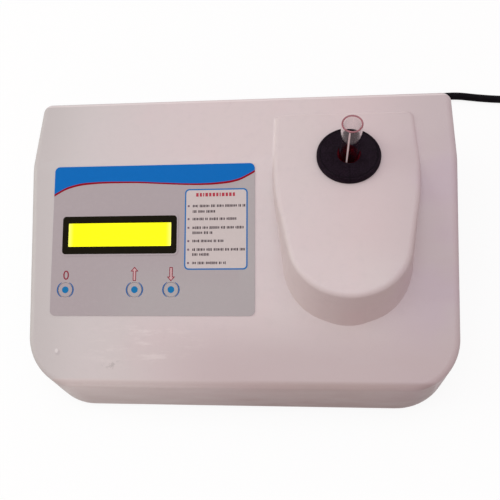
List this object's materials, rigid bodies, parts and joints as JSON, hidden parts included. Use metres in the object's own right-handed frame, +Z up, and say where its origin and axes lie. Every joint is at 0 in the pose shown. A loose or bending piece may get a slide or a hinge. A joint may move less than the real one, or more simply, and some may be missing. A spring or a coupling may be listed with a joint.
{
  "type": "digital colorimeter",
  "caption": "Bench colorimeter with a sloped panel, a display, press keys, a sample well with a glass tube in a raised hump, and a mains lead.",
  "frame": {"origin": "on the table under the middle of the instrument without its lead", "axes": "+X to the user's right, +Y to the rear wall, +Z up out of the sample well"},
  "size_m": [0.4399, 0.2423, 0.1117],
  "materials": {
    "housing_white": "satin",
    "base_grey": "satin",
    "screw_steel": "satin",
    "foot_rubber": "matte",
    "overlay_film": "satin",
    "bezel_black": "satin",
    "display_glass": "gloss",
    "backlight_yellow": "satin",
    "board_green": "satin",
    "collar_black": "satin",
    "tube_glass": "gloss",
    "lamp_clear": "gloss",
    "part_black": "satin",
    "part_metal": "satin",
    "capacitor_blue": "gloss",
    "trimmer_blue": "satin",
    "terminal_green": "satin",
    "ribbon_grey": "satin",
    "core_iron": "satin",
    "winding_tape": "satin",
    "switch_black": "satin",
    "fuse_glass": "gloss",
    "cord_rubber": "satin",
    "pin_brass": "polished"
  },
  "bodies": {
    "instrument": {"top_housing": "housing_white", "base_plate": "base_grey", "base_screws": "screw_steel", "foot_front_left": "foot_rubber", "foot_front_right": "foot_rubber", "foot_rear_left": "foot_rubber", "foot_rear_right": "foot_rubber", "foot_screws": "screw_steel", "front_overlay": "overlay_film", "lcd_bezel": "bezel_black", "lcd_glass": "display_glass", "lcd_backlight": "backlight_yellow", "lcd_board": "board_green", "lcd_screws": "screw_steel", "keypad_board": "board_green", "key_switches": "part_black", "keypad_screws": "screw_steel", "tube_collar": "collar_black", "tube_holder": "collar_black", "holder_screws": "screw_steel", "lamp_board": "board_green", "lamp_led": "lamp_clear", "detector_board": "board_green", "photodiode": "part_metal", "optics_screws": "screw_steel", "main_board": "board_green", "main_board_screws": "screw_steel", "microcontroller": "part_black", "amplifier_chips": "part_black", "capacitors": "capacitor_blue", "trim_pots": "trimmer_blue", "heat_sink": "part_metal", "voltage_regulator": "part_black", "terminal_block": "terminal_green", "ribbon_headers": "part_black", "ribbon_cable": "ribbon_grey", "transformer_core": "core_iron", "transformer_winding": "winding_tape", "transformer_bracket": "part_metal", "transformer_screws": "screw_steel", "switch_frame": "switch_black", "fuse_holder": "switch_black", "cord_gland": "cord_rubber", "mains_cord": "cord_rubber", "cord_coil": "cord_rubber", "plug": "cord_rubber", "plug_pins": "pin_brass"},
    "set_zero_button": {"set_zero_key": "overlay_film"},
    "up_button": {"up_key": "overlay_film"},
    "down_button": {"down_key": "overlay_film"},
    "tube": {"sample_tube": "tube_glass"},
    "switch_rocker": {"power_rocker": "switch_black"},
    "fuse_carrier": {"fuse_cap": "switch_black", "fuse": "fuse_glass"}
  },
  "joints": [
    {"name": "set_zero_press", "type": "slide", "parent": "instrument", "child": "set_zero_button", "axis": [0, 0.3193, -0.9477], "range_m": [0, 0.00035], "stiffness_N_per_m": 500, "springref_m": -0.0005},
    {"name": "up_press", "type": "slide", "parent": "instrument", "child": "up_button", "axis": [0, 0.3193, -0.9477], "range_m": [0, 0.00035], "stiffness_N_per_m": 500, "springref_m": -0.0005},
    {"name": "down_press", "type": "slide", "parent": "instrument", "child": "down_button", "axis": [0, 0.3193, -0.9477], "range_m": [0, 0.00035], "stiffness_N_per_m": 500, "springref_m": -0.0005},
    {"name": "tube_lift", "type": "slide", "parent": "instrument", "child": "tube", "axis": [0, 0, 1], "range_m": [0, 0.08]},
    {"name": "rocker_swing", "type": "hinge", "parent": "instrument", "child": "switch_rocker", "pos_m": [0.03, 0.08657, 0.02598], "axis": [1, 0, 0], "range_deg": [-22, 0]},
    {"name": "fuse_cap_turn", "type": "hinge", "parent": "instrument", "child": "fuse_carrier", "pos_m": [0.066, 0.08717, 0.026], "axis": [0, 0.9996, 0.0269], "range_deg": [0, 60]}
  ]
}
